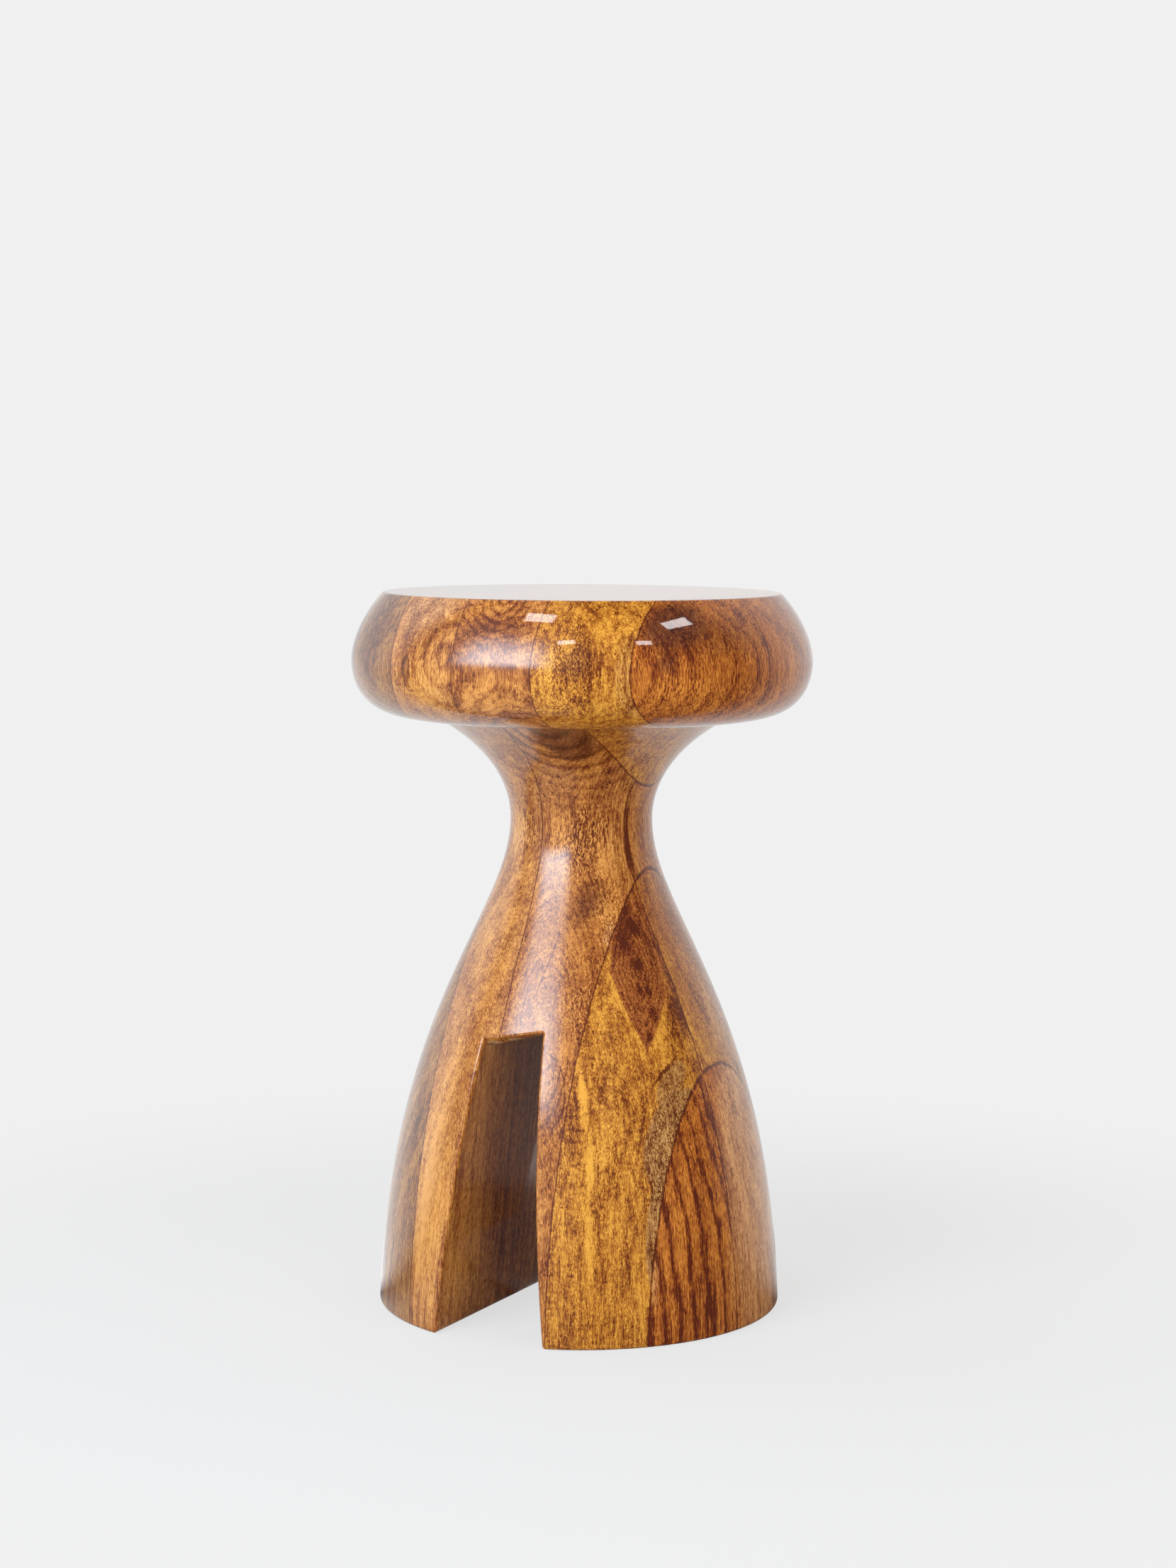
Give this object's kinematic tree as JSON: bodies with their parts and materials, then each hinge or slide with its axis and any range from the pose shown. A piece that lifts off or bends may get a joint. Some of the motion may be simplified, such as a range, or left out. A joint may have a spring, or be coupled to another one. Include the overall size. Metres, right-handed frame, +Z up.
{
  "type": "wooden stool",
  "caption": "Turned laminated wooden stool with a bell-shaped foot, a narrow neck, a round flat-topped seat and a tapered slot cut through the foot.",
  "frame": {"origin": "centre of the foot, on the floor", "axes": "+Z up; the slot through the foot runs along Y, with the mouth shown in the picture at -Y; +X is to the right of that mouth"},
  "size_m": [0.2952, 0.2952, 0.46],
  "materials": {
    "core_wood_left": "clear high-gloss lacquer over orange-tan wood",
    "core_wood_right": "clear high-gloss lacquer over tan-brown wood",
    "mid_wood_left": "clear high-gloss lacquer over grey-brown wood",
    "mid_wood_right": "clear high-gloss lacquer over golden wood",
    "rim_wood_left": "clear high-gloss lacquer over dark brown wood",
    "rim_wood_right": "clear high-gloss lacquer over red-brown wood"
  },
  "bodies": {
    "root": {"core_board_left_front": "core_wood_left", "core_board_left_back": "core_wood_left", "core_board_right_front": "core_wood_right", "core_board_right_back": "core_wood_right", "foot_mid_left_front": "mid_wood_left", "foot_mid_left_back": "mid_wood_left", "foot_mid_right_front": "mid_wood_right", "foot_mid_right_back": "mid_wood_right", "foot_rim_left_front": "rim_wood_left", "foot_rim_left_back": "rim_wood_left", "foot_rim_right_front": "rim_wood_right", "foot_rim_right_back": "rim_wood_right", "seat_mid_left_front": "mid_wood_left", "seat_mid_left_back": "mid_wood_left", "seat_mid_right_front": "mid_wood_right", "seat_mid_right_back": "mid_wood_right", "seat_rim_left_front": "rim_wood_left", "seat_rim_left_back": "rim_wood_left", "seat_rim_right_front": "rim_wood_right", "seat_rim_right_back": "rim_wood_right"}
  },
  "joints": []
}
